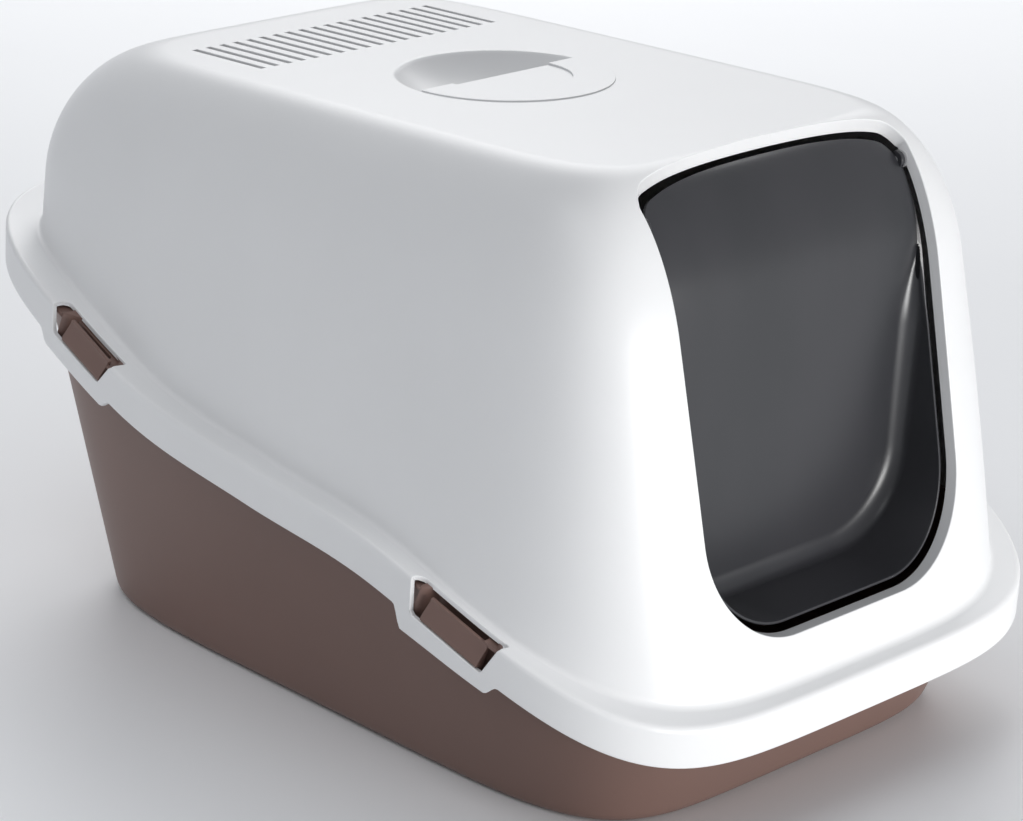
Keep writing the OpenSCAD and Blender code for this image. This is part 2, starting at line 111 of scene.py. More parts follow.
class Socket:
    """A shader value. + - * / and ** on it add Math nodes; node() adds any other node."""

    def __init__(self, tree, value):
        self.tree, self.value = tree, value

    def node(self, kind, settings=None, output=0, **inputs):
        """Adds a node of that kind: its settings first, then the values or links of its inputs.
        An input is named, or is i and its number."""
        made = self.tree.nodes.new(kind)
        for key, setting in (settings or {}).items():
            setattr(made, key, setting)
        for key, given in inputs.items():
            socket = made.inputs[int(key[1:]) if key[1:].isdigit() else key.replace("_", " ")]
            if isinstance(given, Socket):
                self.tree.links.new(given.value, socket)
            else:
                socket.default_value = given
        return Socket(self.tree, made.outputs[output])

    def maths(self, operation, first, second):
        return self.node("ShaderNodeMath", {"operation": operation}, i0=first, i1=second)

    def __add__(self, other): return self.maths("ADD", self, other)
    def __radd__(self, other): return self.maths("ADD", other, self)
    def __sub__(self, other): return self.maths("SUBTRACT", self, other)
    def __rsub__(self, other): return self.maths("SUBTRACT", other, self)
    def __mul__(self, other): return self.maths("MULTIPLY", self, other)
    def __rmul__(self, other): return self.maths("MULTIPLY", other, self)
    def __truediv__(self, other): return self.maths("DIVIDE", self, other)
    def __rtruediv__(self, other): return self.maths("DIVIDE", other, self)

    def between(self, start, end):
        """0 below start, 1 above end, and a smooth ramp between them."""
        return self.node("ShaderNodeMapRange", {"interpolation_type": "SMOOTHSTEP"},
                         Value=self, From_Min=start, From_Max=end)

    def mixed(self, first, second):
        """The first colour where this is 0 and the second where it is 1."""
        colours = [c if isinstance(c, Socket) else (*c, 1) for c in (first, second)]
        return self.node("ShaderNodeMix", {"data_type": "RGBA"}, output=2,
                         i0=self, i6=colours[0], i7=colours[1])

    def noise(self, scale, detail=2.0, roughness=0.5):
        """Even noise from 0 to 1 over a place vector."""
        return self.node("ShaderNodeTexNoise", Vector=self, Scale=scale, Detail=detail,
                         Roughness=roughness)

    def stretched(self, *scale):
        """A place vector with each part scaled."""
        return self.node("ShaderNodeMapping", Vector=self, Scale=scale)

    def bumped(self, strength, distance):
        """A normal raised by this height, to be linked to Normal."""
        return self.node("ShaderNodeBump", Height=self, Strength=strength, Distance=distance)


def finish_of(name, **fixed):
    """New material. Gives it, the place on the object as a vector, and a function that links
    values to the shader's inputs."""
    material = bpy.data.materials.new(name)
    material.use_nodes = True
    tree = material.node_tree
    shader = tree.nodes["Principled BSDF"]
    for key, setting in fixed.items():
        shader.inputs[key.replace("_", " ")].default_value = setting

    def surface(**links):
        for key, given in links.items():
            tree.links.new(given.value, shader.inputs[key.replace("_", " ")])

    return material, Socket(tree, tree.nodes.new("ShaderNodeTexCoord").outputs["Object"]), surface


paper, place, surface = finish_of("studio paper", Roughness=0.7)
surface(Base_Color=place.noise(3.0).between(0.3, 0.7).mixed((0.85, 0.86, 0.875),
                                                            (0.86, 0.87, 0.885)))

# the first 0.6 of the sheet's rows lie flat, the next quarter turns up, and the rest stands
sheet_rows, sheet_half, sheet_front, sheet_l, cove_r = 80, 12, 12, 15, 1.5
flat, curved = 0.6, 0.25
across, along = np.meshgrid(np.linspace(-sheet_half, sheet_half, 2), np.linspace(0, 1, sheet_rows))
turn = np.clip((along - flat) / curved, 0, 1) * math.pi / 2
lie = np.minimum(along / flat, 1) * sheet_l - sheet_front
sheet = np.stack([across, lie + cove_r * np.sin(turn),
                  cove_r * (1 - np.cos(turn)) + np.maximum(along - flat - curved, 0) * 14], -1)
first = np.arange(0, 2 * sheet_rows - 2, 2)[:, None]
floor_mesh = bpy.data.meshes.new("floor")
floor_mesh.from_pydata(sheet.reshape(-1, 3).tolist(), [], (first + [0, 1, 3, 2]).tolist())
floor_mesh.polygons.foreach_set("use_smooth", np.ones(sheet_rows - 1, bool))
floor_mesh.materials.append(paper)
floor = bpy.data.objects.new("floor", floor_mesh)
scene.collection.objects.link(floor)

# ------------------------------------------------------------------ hood
# One white polypropylene moulding. Its walls lean in from a shelf and a skirt that follow an
# S-shaped rim, a wide rounded shoulder carries the roof, and a flange turns in at the doorway.

half_w, half_l = high.x, high.y
wall, skirt_h, shelf_fall = 0.0026, 0.023, 0.002
base_z, roof_z, roof_tilt, shoulder_h = 0.060, 0.334, 0.045, 0.077
span_z = roof_z - base_z
side_bow = 0.004

# side, front and rear walls: distance out at base_z, lean, and how far the shoulder draws them in
wall_foot = (0.1945, 0.2724, 0.2645)
wall_lean = [math.tan(math.radians(degrees)) for degrees in (7.6, 14.7, 1.7)]
shoulder_reach = (0.044, 0.034, 0.055)
foot_square, squarer_by = 4.3, 3.4

# height of the skirt's lower edge at seven even stations, with one made up beyond each end
rim_stations = np.array([51, 86.5, 116.5, 128.5, 143.5, 178, 207.5]) / 1000
rim_knots = np.concatenate([[2 * rim_stations[0] - rim_stations[1]], rim_stations,
                            [2 * rim_stations[6] - rim_stations[5]]])


def clamp(value, least, most):
    return np.minimum(np.maximum(value, least), most)


def smooth(share):
    """0 to 1 on a soft S-curve."""
    share = clamp(share, 0, 1)
    return share * share * (3 - 2 * share)


def ring(t, a, b, n):
    """Rounded rectangle of half sizes a and b: the direction t is stretched until
    |x|^n + |y|^n = 1, and each long side is bowed by a share."""
    c, s = np.cos(t), np.sin(t)
    r = (np.abs(c) ** n + np.abs(s) ** n) ** (-1 / n)
    return a * c * r * (1 - side_bow * (s * r) ** 2), b * s * r * (1 - side_bow * (c * r) ** 2)


def rim(y):
    """Height of the skirt's lower edge: a Catmull-Rom curve through seven even stations."""
    s = clamp((y + half_l) / (half_l / 3), 0, 6)
    i = np.minimum(np.floor(s).astype(int), 5)
    f = s - i
    p0, p1, p2, p3 = (rim_knots[i + k] for k in range(4))
    return p1 + f * (p2 - p0 + f * (2 * p0 - 5 * p1 + 4 * p2 - p3
                                    + f * (3 * p1 - p0 - 3 * p2 + p3))) / 2


def outline_x(y):
    """Half width of the skirt at a place along its length."""
    share = clamp(np.abs(y) / half_l, 0, 1)
    return half_w * (1 - share ** 5) ** 0.2 * (1 - side_bow * share ** 2)


def hood_sizes(rise, tuck, inset):
    """Half width, front, rear and squareness of the hood at a height over its base, drawn in by
    share tuck of the shoulder and by inset."""
    side, front, rear = (foot - inset - lean * rise - (reach - inset) * tuck
                         for foot, lean, reach in zip(wall_foot, wall_lean, shoulder_reach))
    return side, -front, rear, foot_square + squarer_by * rise / span_z


def hood_at(t, z, tuck, inset):
    """Point of the hood in direction t at level z; every level rises towards the door."""
    a, front, rear, n = hood_sizes(z - base_z, tuck, inset)
    x, y = ring(t, a, (rear - front) / 2, n)
    y = y + (rear + front) / 2
    return np.stack([x, y, base_z + (z - base_z) * (1 - roof_tilt * y / span_z)], -1)


def foot_level(t, inset, rise):
    """Level at which the wall meets a height above the rim, by three rounds of correction."""
    z = 0.15 + 0 * t
    for _ in range(3):
        y = hood_at(t, z, 0, inset)[..., 1]
        z = base_z + (rim(y) + rise - base_z) / (1 - roof_tilt * y / span_z)
    return z


def hood_skin(inset, rise):
    """The hood from the edge of its roof at v = 0, over a quarter ellipse to v = 1, and down the
    leaning wall to v = 2 at that rise above the rim."""
    def form(t, v):
        angle = math.pi / 2 * (1 - clamp(v, 0, 1))
        shoulder = roof_z - inset - (shoulder_h - inset) * (1 - np.sin(angle))
        top = roof_z - shoulder_h
        level = np.where(v < 1, shoulder, top + (foot_level(t, inset, rise) - top) * (v - 1))
        return hood_at(t, level, np.where(v < 1, 1 - np.cos(angle), 0), inset)
    return form


def rounded_box(a, b, r):
    """Signed distance, below zero inside, to a corner whose straight sides lie at a = 0 and
    b = 0 and whose tip has radius r."""
    return np.hypot(np.maximum(a + r, 0), np.maximum(b + r, 0)) \
        + np.minimum(np.maximum(a + r, b + r), 0) - r


door_half, door_wider, door_sill, door_corner = 0.1044, 0.003, 0.1015, 0.060
head_half, head_y, head_corner, head_bow, bow_half = 0.1084, -0.167, 0.014, 0.009, 0.094


def doorway(p, grow=0.0):
    """Signed distance to the doorway's edge, below zero in the opening: a U seen from the front,
    met by a bowed rectangle seen from above."""
    x, y, z = np.abs(p[..., 0]), p[..., 1], p[..., 2]
    half = door_half + door_wider * clamp((z - 0.16) / 0.19, 0, 1) + grow
    front = rounded_box(x - half, door_sill - grow - z, door_corner + grow)
    head = grow + head_y - head_bow * (x / bow_half) ** 2
    return np.maximum(front, rounded_box(x - head_half - grow, y - head, head_corner))


def windows(p):
    """Signed distance to the edge of the nearest window, below zero in it. A tape is laid from
    the rim up the skirt and over the shelf; a window spans two marks on it and two places along
    the rim. Its rear end is upright and its front end slants."""
    y = p[..., 1]
    tape = p[..., 2] - rim(y) + outline_x(y) - np.abs(p[..., 0])
    nearest = np.full(y.shape, 1.0)
    for rear, front, lowest, highest, slant in ((0.171, 0.128, 0.0055, 0.034, 0.667),
                                                (-0.128, -0.177, 0.002, 0.030, 0.517)):
        lean = slant * clamp(tape - lowest, 0, skirt_h - lowest)
        a, b, middle = y - rear, front - lean - y, (lowest + highest) / 2
        side = np.abs(tape - middle) - (highest - lowest) / 2
        round_end = np.where(tape > middle, 0.0045, 0.002)
        nearest = np.minimum(nearest, np.maximum(rounded_box(a, side, round_end),
                                                 rounded_box(b, side, 0.0012)))
    return nearest


def skin(name, form, u, v, material, body, slot, gap=None, cells=None, lips=None, hem=None,
         flip=False, matrix=None):
    """Mesh of form(u, v) on a grid. Where gap(points) is below zero the sheet is cut away: the
    nodes just inside slide along the sheet, by Newton's rule, until gap is zero. A cell whose
    middle has cells(point) below zero is dropped as it is. hem gives the rings that close a cut
    edge, for the edges where lips(point) is zero. Normals are the cross product of the sheet's
    two slopes, so the grid never shows."""
    grid_u, grid_v = [np.array(g, float) for g in np.meshgrid(u, v, indexing="ij")]
    step_u = np.gradient(np.asarray(u, float))[:, None] + 0 * grid_u
    step_v = np.gradient(np.asarray(v, float))[None, :] + 0 * grid_v
    keep = np.ones((len(u) - 1, len(v) - 1), bool)
    if gap:
        outside = gap(form(grid_u, grid_v)) > 0
        padded = np.pad(outside, 1, mode="edge")
        near = np.zeros_like(outside)
        for i in range(3):
            for j in range(3):
                near |= padded[i:i + outside.shape[0], j:j + outside.shape[1]]
        slide = near & ~outside
        a, b, da, db = grid_u[slide], grid_v[slide], step_u[slide], step_v[slide]
        for _ in range(14):
            here = gap(form(a, b))
            slope_a = (gap(form(a + da * 0.02, b)) - gap(form(a - da * 0.02, b))) / 0.04
            slope_b = (gap(form(a, b + db * 0.02)) - gap(form(a, b - db * 0.02))) / 0.04
            size = np.maximum(slope_a ** 2 + slope_b ** 2, 1e-14)
            a = a - clamp(here * slope_a / size, -0.6, 0.6) * da
            b = b - clamp(here * slope_b / size, -0.6, 0.6) * db
        grid_u[slide], grid_v[slide] = a, b
        kept = outside | slide
        keep = kept[:-1, :-1] & kept[1:, :-1] & kept[1:, 1:] & kept[:-1, 1:]
        keep &= outside[:-1, :-1] | outside[1:, :-1] | outside[1:, 1:] | outside[:-1, 1:]
    points = form(grid_u, grid_v)
    if cells:
        middles = (points[:-1, :-1] + points[1:, 1:]) / 2
        keep &= cells(middles) > 0
    slope_u = form(grid_u + step_u * 0.01, grid_v) - form(grid_u - step_u * 0.01, grid_v)
    slope_v = form(grid_u, grid_v + step_v * 0.01) - form(grid_u, grid_v - step_v * 0.01)
    normals = np.cross(slope_v, slope_u) if flip else np.cross(slope_u, slope_v)
    normals /= np.maximum(np.linalg.norm(normals, axis=-1, keepdims=True), 1e-12)
    index = np.arange(grid_u.size).reshape(grid_u.shape)
    faces = np.stack([index[:-1, :-1], index[1:, :-1], index[1:, 1:], index[:-1, 1:]], -1)[keep]
    if flip:
        faces = faces[:, ::-1]
    points, normals = points.reshape(-1, 3), normals.reshape(-1, 3)
    if hem:
        starts, ends = faces.ravel(), np.roll(faces, -1, 1).ravel()
        count = len(points)
        key = np.minimum(starts, ends) * count + np.maximum(starts, ends)
        _, once, times = np.unique(key, return_index=True, return_counts=True)
        start, end = starts[once[times == 1]], ends[once[times == 1]]
        real = np.abs((lips or gap)((points[start] + points[end]) / 2)) < 0.001
        start, end = start[real], end[real]
        outward = np.cross(points[end] - points[start], normals[start])
        away = np.zeros_like(points)
        np.add.at(away, start, outward)
        np.add.at(away, end, outward)
        on_edge = np.unique(np.concatenate([start, end]))
        row = np.zeros(count, int)
        row[on_edge] = np.arange(len(on_edge))
        away = away[on_edge]
        away /= np.maximum(np.linalg.norm(away, axis=-1, keepdims=True), 1e-12)
        rings = hem(points[on_edge], normals[on_edge], away)
        base = count + np.arange(len(rings))[:, None] * len(on_edge)
        s, e = row[start][None], row[end][None]
        strips = np.stack([base[:-1] + e, base[:-1] + s, base[1:] + s, base[1:] + e], -1)
        points = np.concatenate([points] + [place for place, _ in rings])
        normals = np.concatenate([normals] + [facing for _, facing in rings])
        faces = np.concatenate([faces, strips.reshape(-1, 4)])
    if matrix is not None:
        turned = np.array(matrix)
        points = points @ turned[:3, :3].T + turned[:3, 3]
        normals = normals @ turned[:3, :3].T
        if np.linalg.det(turned[:3, :3]) < 0:
            faces = faces[:, ::-1]
    return settle(name, points, faces, normals, material, body, slot)


def settle(name, points, faces, normals, material, body, slot):
    """Object from quads with given normals: nodes that meet are merged, a quad that lost a side
    becomes a triangle, and unused nodes are dropped."""
    used, faces = np.unique(faces, return_inverse=True)
    faces = faces.reshape(-1, 4)
    _, first, merged = np.unique(np.round(points[used], 6), axis=0, return_index=True,
                                 return_inverse=True)
    faces = merged.ravel()[faces]
    repeated = faces == np.roll(faces, -1, 1)
    quads = faces[repeated.sum(1) == 0]
    quads = quads[(quads[:, 0] != quads[:, 2]) & (quads[:, 1] != quads[:, 3])]
    short = repeated.sum(1) == 1
    triangles = faces[short][~repeated[short]].reshape(-1, 3)
    mesh = bpy.data.meshes.new(name)
    mesh.from_pydata(points[used][first].tolist(), [], quads.tolist() + triangles.tolist())
    mesh.polygons.foreach_set("use_smooth", np.ones(len(mesh.polygons), bool))
    mesh.normals_split_custom_set_from_vertices(normals[used][first].tolist())
    return placed(name, mesh, material, body, slot)


def placed(name, mesh, material, body, slot):
    """Object of a finished mesh, with its material, riding on its body."""
    mesh.materials.append(material)
    made = bpy.data.objects.new(name, mesh)
    scene.collection.objects.link(made)
    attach(made, body)
    return made


def lip(radius, depth, cut=None):
    """Hem of a cut edge: a quarter round of that radius, then a wall to that depth, which may
    depend on the place. The wall runs against the sheet's normal or, if cut is given, along the
    face of that cut."""
    def rings(p, n, w):
        made = []
        deep = depth(p)[:, None] if callable(depth) else depth
        for t in np.radians([0, 22.5, 45, 67.5, 90]):
            made.append((p + radius * (w * math.sin(t) - n * (1 - math.cos(t))),
                         n * math.cos(t) + w * math.sin(t)))
        inward = -n
        if cut:
            steps = np.eye(3) * 1e-5
            slope = np.stack([cut(p + s) - cut(p - s) for s in steps], -1)
            slope /= np.maximum(np.linalg.norm(slope, axis=-1, keepdims=True), 1e-12)
            inward = (n * slope).sum(-1, keepdims=True) * slope - n
            inward /= np.maximum(np.linalg.norm(inward, axis=-1, keepdims=True), 1e-12)
        made.append((p + radius * (w - n) + inward * (deep - radius), w))
        return made
    return rings


hood_white, place, surface = finish_of("hood plastic", IOR=1.49)
grain, cloud = place.noise(1800.0, 2.0), place.noise(7.0, 3.0)
surface(Base_Color=cloud.between(0.3, 0.7).mixed((0.80, 0.805, 0.812), (0.82, 0.825, 0.832)),
        Roughness=0.30 + 0.08 * cloud + 0.06 * grain,
        Normal=grain.bumped(0.08, 0.0001))

# angles round the rim, closer together at the windows and the corners
even = np.linspace(0, 2 * math.pi, 4000)
even_x, even_y = ring(even, half_w, half_l, 5)
crowd = 1 + 0.8 * (np.abs(even_x) > half_w * 0.75) * (np.abs(even_y) > half_l * 0.75)
crowd += 2.2 * (np.abs(even_x) > half_w * 0.7) \
    * ((np.abs(even_y - 0.147) < 0.045) | (np.abs(even_y + 0.156) < 0.045))
total = np.concatenate([[0], np.cumsum(crowd[1:])])
columns = np.interp(np.linspace(0, total[-1], 577), total, even)

shell = skin("hood_shell", hood_skin(0, skirt_h - shelf_fall + 0.004), columns,
             np.linspace(0, 2, 118), hood_white, "hood_body", "hood_plastic", flip=True,
             gap=lambda p: doorway(p, 0.0007), hem=lip(0.0007, 0.007, doorway))
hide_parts("hood")
skin("hood_inside", hood_skin(wall, skirt_h - shelf_fall - wall), columns[::3],
     np.linspace(0, 2, 50), hood_white, "hood_body", "hood_plastic",
     gap=lambda p: doorway(p, 0.0026))


def bent(stops, radii, v):
    """A broken line with rounded corners through the stops: from each even number to the next
    odd one v runs straight, and from there to the next even one round a corner, on a parabola."""
    v = v[..., None]
    leave = result = stops[0]
    for k in range(len(stops) - 1):
        here = stops[k + 1]
        to = (here - stops[k]) / np.linalg.norm(here - stops[k], axis=-1, keepdims=True)
        enter = here - to * radii[k] if k < len(radii) else here
        result = np.where(v < 2 * k, result, leave + (enter - leave) * (v - 2 * k))
        if k == len(radii):
            break
        after = stops[k + 2]
        leave = here + (after - here) / np.linalg.norm(after - here, axis=-1, keepdims=True) \
            * radii[k]
        bow = v - 2 * k - 1
        arc = enter * (1 - bow) ** 2 + here * 2 * bow * (1 - bow) + leave * bow ** 2
        result = np.where(v < 2 * k + 1, result, arc)
    return result


def rows(start, *runs):
    """Grid rows from start on: each run is the value that it ends at and its count of even
    steps."""
    made = [start]
    for end, steps in runs:
        made.extend(np.linspace(made[-1], end, steps + 1)[1:])
    return np.array(made, float)


def at_rim(t, inset, rise):
    """Point of the rim's outline, drawn in by inset, at a rise above the skirt's edge."""
    x, y = ring(t, half_w - inset, half_l - inset, 5)
    return np.stack([x, y, rim(y) + rise], -1)


def skirt_drop(x, y):
    """Fall of the skirt's edge under the windows, with soft steps at both ends."""
    drop = 0 * y
    for rear, front, at_rear, at_front in ((0.1815, 0.1215, 0.007, 0.0065),
                                           (-0.1185, -0.184, 0.0115, 0.0075)):
        here = smooth((y - front) / 0.009 + 0.5) * smooth((rear - y) / 0.006 + 0.5)
        drop = drop + here * (at_rear + (at_front - at_rear) * (rear - y) / (rear - front))
    return drop * (np.abs(x) > half_w * 0.8)


def skirt_form(t, v):
    """Shelf and skirt: from the wall's foot out to the bend, down to the dropped edge, round it,
    and up the inside to the underside of the shelf and the foot again."""
    foot = hood_skin(0, skirt_h - shelf_fall + 0.004)(t, 2 + 0 * t)
    join = hood_skin(0, skirt_h - shelf_fall)(t, 2 + 0 * t)
    outer, inner = at_rim(t, 0, 0), at_rim(t, wall, 0)
    drop = skirt_drop(outer[..., 0], outer[..., 1])[..., None] * [0, 0, 1]
    under = hood_skin(wall, skirt_h - shelf_fall - wall)(t, 2 + 0 * t)
    return bent([foot, join, at_rim(t, 0, skirt_h), outer - drop, inner - drop,
                 at_rim(t, wall, skirt_h - wall), under],
                [0.0036, 0.0036, 0.0012, 0.0012, 0.0015], v)


outer_rows = rows(0, (1, 2), (2, 5), (3, 13), (4, 7), (5, 15), (6, 4), (8, 6))
inner_rows = rows(8, (9, 11), (11, 11))
skin("hood_skirt", skirt_form, columns, outer_rows, hood_white, "hood_body", "hood_plastic",
     gap=lambda p: windows(p) - 0.0006, hem=lip(0.0006, wall), flip=True)
skin("hood_skirt_inside", skirt_form, columns, inner_rows, hood_white, "hood_body",
     "hood_plastic", gap=windows, flip=True)

# the roof is a plane, so its grid can run along both edges of every vent slot
slot_w, slot_l, slot_y, slots_w, slot_count = 0.0046, 0.060, 0.145, 0.188, 19
slot_x = -slots_w / 2 + slot_w / 2 + np.arange(slot_count) * (slots_w - slot_w) / (slot_count - 1)
grip_y, grip_edge = 0.0157, 0.06316
roof_angle = math.atan(roof_tilt)


def slots(p):
    """Signed distance to the nearest vent slot's edge."""
    return np.maximum(np.abs(p[..., 0, None] - slot_x).min(-1) - slot_w / 2,
                      np.abs(p[..., 1] - slot_y) - slot_l / 2)


def roof_holes(p):
    """Signed distance to the doorway or the round grip, whichever is nearer."""
    grip = np.hypot(p[..., 0], (p[..., 1] - grip_y) / math.cos(roof_angle)) - grip_edge
    return np.minimum(doorway(p, 0.0007), grip)


def roof_outline(p, inset):
    """Distance, near enough, inwards from the edge where the roof meets the shoulder."""
    a, front, rear, n = hood_sizes(span_z - inset, 1, inset)
    u = np.abs(p[..., 0]) / a
    v = np.abs(p[..., 1] - (rear + front) / 2) / ((rear - front) / 2)
    u, v = u / (1 - side_bow * clamp(v, 0, 1) ** 2), v / (1 - side_bow * clamp(u, 0, 1) ** 2)
    return (1 - (u ** n + v ** n) ** (1 / n)) * a


def roof_form(inset):
    """The flat of the roof over x and y."""
    def form(x, y):
        rise = span_z - inset
        return np.stack([x, y, base_z + rise * (1 - roof_tilt * y / span_z)], -1)
    return form


roof_x = np.unique(np.round(np.concatenate([
    np.linspace(-0.1215, slot_x[0] - slot_w / 2, 14), slot_x - slot_w / 2, slot_x + slot_w / 2,
    slot_x[:-1] + slot_w / 2 + 0.0028, np.linspace(slot_x[-1] + slot_w / 2, 0.1215, 14)]), 6))
roof_y = np.unique(np.round(np.concatenate([
    np.linspace(-0.1715, slot_y - slot_l / 2, 110),
    np.linspace(slot_y - slot_l / 2, slot_y + slot_l / 2, 16),
    np.linspace(slot_y + slot_l / 2, 0.2085, 22)]), 6))


def roof_edge_depth(p):
    """The doorway's flange is deep, and a vent slot is only as deep as the wall."""
    return np.where(np.abs(doorway(p, 0.0007)) < 0.001, 0.007, wall)


for name, inset, flip, hem in (("hood_roof", 0, False, lip(0.0004, roof_edge_depth)),
                               ("hood_roof_inside", wall, True, None)):
    skin(name, roof_form(inset), roof_x, roof_y, hood_white, "hood_body", "hood_plastic", flip=flip,
         gap=lambda p: np.minimum(roof_outline(p, inset), roof_holes(p)), cells=slots,
         lips=lambda p: np.minimum(np.abs(slots(p)), np.abs(doorway(p, 0.0007))), hem=hem)


def turned(name, centre, profile, material, body, slot, steps=48):
    """Ring or disc round an axis along X: the profile's radii and offsets are swept round it."""
    profile = np.array(profile)

    def form(t, v):
        r, x = np.interp(v, np.arange(len(profile)), profile[:, 0]), \
            np.interp(v, np.arange(len(profile)), profile[:, 1])
        return np.stack([centre[0] + x, centre[1] + r * np.cos(t), centre[2] + r * np.sin(t)], -1)
    return skin(name, form, np.linspace(0, 2 * math.pi, steps + 1),
                np.arange(0, len(profile) - 0.5, 1), material, body, slot)


def ring_profile(inner, outer, width, edge):
    """Cross-section of a washer, with bevelled edges, as radii and offsets."""
    h = width / 2
    return [(inner, -h), (outer - edge, -h), (outer - edge / 3, -h + edge / 3), (outer, -h + edge),
            (outer, h - edge), (outer - edge / 3, h - edge / 3), (outer - edge, h), (inner, h),
            (inner, -h)]


def bar(name, outline, start, end, matrix, material, body, slot, edge=0.0004):
    """Straight bar: an outline in the XZ plane of a frame, carried along its Y, with its edges
    rounded by a bevel."""
    outline = np.array(outline)
    count = len(outline)
    ends = [np.stack([outline[:, 0], np.full(count, y), outline[:, 1]], -1) for y in (start, end)]
    k = np.arange(count)
    sides = np.stack([k, (k + 1) % count, (k + 1) % count + count, k + count], -1).tolist()
    mesh = bpy.data.meshes.new(name)
    mesh.from_pydata(np.concatenate(ends).tolist(), [],
                     sides + [k[::-1].tolist(), (k + count).tolist()])
    mesh.transform(matrix)
    work = bmesh.new()
    work.from_mesh(mesh)
    bmesh.ops.recalc_face_normals(work, faces=work.faces)
    work.to_mesh(mesh)
    work.free()
    mesh.polygons.foreach_set("use_smooth", np.ones(len(mesh.polygons), bool))
    made = placed(name, mesh, material, body, slot)
    bevel = made.modifiers.new("rounded edges", "BEVEL")
    bevel.width, bevel.segments, bevel.harden_normals = edge, 2, True
    return made


def box_outline(x0, x1, z0, z1):
    return [(x0, z0), (x1, z0), (x1, z1), (x0, z1)]


def on_roof(y):
    """The roof's own frame at a place along its length."""
    return Matrix.Translation((0, y, roof_z - roof_tilt * y)) @ Matrix.Rotation(-roof_angle, 4, "X")


# two bosses behind the doorway's flange hold the hinge pins
hinge_y, hinge_z = -0.185, 0.316
for side, name in ((-1, "left"), (1, "right")):
    turned(f"pin_boss_{name}", (side * 0.1106, hinge_y, hinge_z),
           ring_profile(0.002, 0.005, 0.008, 0.0004), hood_white, "hood_body", "hood_plastic")

# ears and posts under the roof carry the filter
ear_y, ear_z = 0.0395, -0.0078
for side, name in ((-1, "left"), (1, "right")):
    middle = side * (0.066 + 0.004 + 0.0023)
    arc = [(ear_y + 0.004 * math.cos(a), ear_z - 0.004 * math.sin(a))
           for a in np.linspace(0, math.pi, 13)]
    turn_in = on_roof(slot_y) @ Matrix.Rotation(math.pi / 2, 4, "Z")
    bar(f"filter_ear_{name}", [(ear_y + 0.004, -0.001)] + arc + [(ear_y - 0.004, -0.001)],
        -middle - 0.002, -middle + 0.002, turn_in, hood_white, "hood_body", "hood_plastic")
    post_x = side * 0.0133
    bar(f"filter_post_{name}", box_outline(post_x - 0.0015, post_x + 0.0015, -0.015, -0.001),
        -0.0415, -0.0365, on_roof(slot_y), hood_white, "hood_body", "hood_plastic")

# ------------------------------------------------------------------ grip
# A round finger bowl sunk into the roof, its front half covered by a half-round plate that is
# pressed in flush. The plate has a shallow half-round recess of its own.

bowl_r, bowl_depth, bowl_round = 0.09208, 0.024, 0.003


def bowl_form(t, v):
    """The bowl's profile turned round the roof's normal: a soft rounding from v = 0 to 1, then
    a cap of a sphere down to its pole at v = 2."""
    dip = math.asin(0.062 / bowl_r)
    a = dip * clamp(v, 0, 1)
    b = math.asin((grip_edge - bowl_round * math.sin(dip)) / bowl_r) * (2 - clamp(v, 1, 2))
    r = np.where(v < 1, grip_edge - bowl_round * np.sin(a), bowl_r * np.sin(b))
    z = np.where(v < 1, bowl_round * (np.cos(a) - 1), bowl_r - bowl_depth - bowl_r * np.cos(b))
    return np.stack([r * np.cos(t), r * np.sin(t), z], -1)


bowl_rows = rows(0, (1, 6), (2, 35))
skin("grip_bowl", bowl_form, np.linspace(0, 2 * math.pi, 145), bowl_rows, hood_white, "hood_body",
     "hood_plastic", matrix=on_roof(grip_y))
skin("grip_bowl_underside", lambda t, v: bowl_form(t, v) - [0, 0, 0.0025],
     np.linspace(0, 2 * math.pi, 97), bowl_rows[::2], hood_white, "hood_body", "hood_plastic",
     flip=True, matrix=on_roof(grip_y))

plate_top, plate_edge_y, recess_r, recess_z = 0.0008, 0.003, 0.0384, -0.0004


def recess(p):
    """How far inside the plate's round recess, which is open to its straight edge, a point is."""
    return recess_r - np.hypot(p[..., 0], p[..., 1])


def plate_area(p, r=0.0624):
    """How far inside the plate's half-round outline a point lies."""
    return np.minimum(r - np.hypot(p[..., 0], p[..., 1]), plate_edge_y - p[..., 1])


def level(z):
    """A flat sheet at a height in a frame."""
    return lambda x, y: np.stack([x, y, z + 0 * x], -1)


plate_x, plate_y = np.linspace(-0.064, 0.064, 129), np.linspace(-0.064, 0.005, 71)
plate = skin("grip_plate_top", level(plate_top), plate_x, plate_y, hood_white, "hood_body",
             "hood_plastic", gap=lambda p: np.minimum(plate_area(p), -recess(p)) - 0.0003,
             hem=lip(0.0003, 0.0015), matrix=on_roof(grip_y))
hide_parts("grip_plate")
skin("grip_plate_recess", level(recess_z), plate_x, plate_y, hood_white, "hood_body",
     "hood_plastic", gap=lambda p: np.minimum(recess(p), plate_edge_y - p[..., 1] - 0.0003),
     lips=lambda p: plate_edge_y - p[..., 1] - 0.0003, hem=lip(0.0003, 0.0015),
     matrix=on_roof(grip_y))
skin("grip_plate_underside", level(-0.0022), plate_x, plate_y, hood_white, "hood_body",
     "hood_plastic", gap=lambda p: plate_area(p, 0.0594), flip=True, matrix=on_roof(grip_y))

# ------------------------------------------------------------------ door
# A smoked scoop that swings on two pins near the roof: a panel set back behind the doorway, with
# walls that come forward to a thin rim, and a top that follows the hood's shoulder.

door_gap, door_inset, door_t, panel_y, fillet = 0.003, 0.0085, 0.002, -0.206, 0.010


def face_at(x, rise, tuck, inset):
    """Front-to-back place of the hood's front, drawn in by inset, over x and a level."""
    a, front, rear, n = hood_sizes(rise, tuck, inset)
    share = clamp(np.abs(x) / (a * 0.996), 0, 0.9999)
    return (rear + front) / 2 \
        - (rear - front) / 2 * (1 - share ** n) ** (1 / n) * (1 - side_bow * share ** 2)


